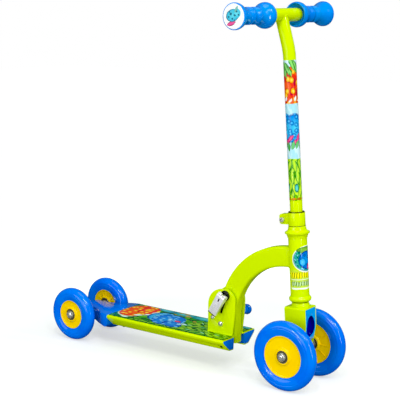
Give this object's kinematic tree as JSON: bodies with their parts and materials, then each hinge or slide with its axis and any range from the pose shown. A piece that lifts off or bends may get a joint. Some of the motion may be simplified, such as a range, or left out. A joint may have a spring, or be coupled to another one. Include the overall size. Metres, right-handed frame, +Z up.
{
  "type": "kick scooter",
  "caption": "Child's folding kick scooter with four wheels, a printed deck, a curved neck arm, a folding hinge with a quick-release lever, and a T handlebar with flared grips.",
  "frame": {"origin": "on the floor, under the centre of the scooter's bounding box", "axes": "+X forward, from the rear wheels to the front wheels; +Y to the rider's left; +Z up"},
  "size_m": [0.587, 0.2694, 0.6387],
  "materials": {
    "lime_paint": "gloss powder coat over steel",
    "blue_plastic": "glossy injection moulding",
    "blue_grip_rubber": "smooth soft vinyl",
    "blue_tyre": "glossy solid vinyl tyre",
    "yellow_plastic": "satin moulded plastic",
    "bearing_steel": "ground steel with a dark shield",
    "zinc_steel": "bright zinc plate",
    "lever_chrome": "polished plate",
    "black_plastic": "fine satin",
    "deck_print": "printed grip film with a fine grain",
    "stem_print": "printed glossy film",
    "badge_print": "printed glossy film"
  },
  "bodies": {
    "deck": {"deck_pan": "lime_paint", "deck_mat": "deck_print", "deck_cap_left": "blue_plastic", "deck_cap_right": "blue_plastic", "cap_screws": "black_plastic", "hinge_plate_left": "lime_paint", "hinge_plate_right": "lime_paint", "hinge_base": "lime_paint", "stop_bolt": "zinc_steel", "stop_bolt_nut": "zinc_steel", "spacer_rivet": "zinc_steel", "pivot_skewer": "zinc_steel", "skewer_nut": "zinc_steel", "cam_seat": "black_plastic", "plunger_guide": "blue_plastic", "rear_axle_housing": "blue_plastic", "housing_screws": "black_plastic", "rear_axle": "zinc_steel", "rear_axle_nuts": "zinc_steel", "rear_axle_sleeves": "zinc_steel", "plunger_spring": "zinc_steel"},
    "neck": {"neck_arm": "lime_paint", "pivot_bush": "zinc_steel", "head_tube": "lime_paint", "headset_cup_lower": "lime_paint", "headset_cup_upper": "lime_paint", "head_badge": "badge_print"},
    "fork": {"fork_crown": "lime_paint", "steerer_tube": "lime_paint", "crown_insert": "blue_plastic", "headset_race_lower": "lime_paint", "headset_cap": "lime_paint", "clamp_collar": "lime_paint", "clamp_bolt": "zinc_steel", "clamp_nut": "zinc_steel", "front_axle": "zinc_steel", "front_axle_nuts": "zinc_steel", "front_axle_sleeves": "zinc_steel"},
    "stem": {"stem_tube": "lime_paint", "stem_sleeve": "stem_print", "handlebar_tube": "lime_paint", "grip_left": "blue_grip_rubber", "grip_right": "blue_grip_rubber", "grip_badges": "badge_print"},
    "lever": {"release_lever": "lever_chrome", "release_cross_pin": "zinc_steel"},
    "plunger": {"plunger_pin": "zinc_steel", "plunger_knob": "blue_plastic"},
    "wheel_front_left": {"front_left_tyre": "blue_tyre", "front_left_hub": "yellow_plastic", "front_left_bearings": "bearing_steel"},
    "wheel_rear_left": {"rear_left_tyre": "blue_tyre", "rear_left_hub": "yellow_plastic", "rear_left_bearings": "bearing_steel"},
    "wheel_front_right": {"front_right_tyre": "blue_tyre", "front_right_hub": "yellow_plastic", "front_right_bearings": "bearing_steel"},
    "wheel_rear_right": {"rear_right_tyre": "blue_tyre", "rear_right_hub": "yellow_plastic", "rear_right_bearings": "bearing_steel"}
  },
  "joints": [
    {"name": "fold", "type": "hinge", "parent": "deck", "child": "neck", "pos_m": [0.0885, 0, 0.1325], "axis": [0, 1, 0], "range_deg": [-100, 0]},
    {"name": "steer", "type": "hinge", "parent": "neck", "child": "fork", "pos_m": [0.23824, 0, 0.06033], "axis": [-0.0698, 0, 0.9976], "range_deg": [-90, 90]},
    {"name": "handlebar_height", "type": "slide", "parent": "fork", "child": "stem", "axis": [-0.0698, 0, 0.9976], "range_m": [-0.015, 0.05]},
    {"name": "release_lever_swing", "type": "hinge", "parent": "deck", "child": "lever", "pos_m": [0.0885, -0.0259, 0.1325], "axis": [-0.866, 0, 0.5], "range_deg": [0, 110]},
    {"name": "plunger_pull", "type": "slide", "parent": "deck", "child": "plunger", "axis": [0, 1, 0], "range_m": [0, 0.006], "stiffness_N_per_m": 400, "springref_m": -0.006, "deforming": ["plunger_spring"]},
    {"name": "front_left_wheel_spin", "type": "hinge", "parent": "fork", "child": "wheel_front_left", "pos_m": [0.2335, 0.0475, 0.06], "axis": [0, 1, 0], "continuous": true},
    {"name": "rear_left_wheel_spin", "type": "hinge", "parent": "deck", "child": "wheel_rear_left", "pos_m": [-0.2435, 0.049, 0.05], "axis": [0, 1, 0], "continuous": true},
    {"name": "front_right_wheel_spin", "type": "hinge", "parent": "fork", "child": "wheel_front_right", "pos_m": [0.2335, -0.0475, 0.06], "axis": [0, 1, 0], "continuous": true},
    {"name": "rear_right_wheel_spin", "type": "hinge", "parent": "deck", "child": "wheel_rear_right", "pos_m": [-0.2435, -0.049, 0.05], "axis": [0, 1, 0], "continuous": true}
  ]
}
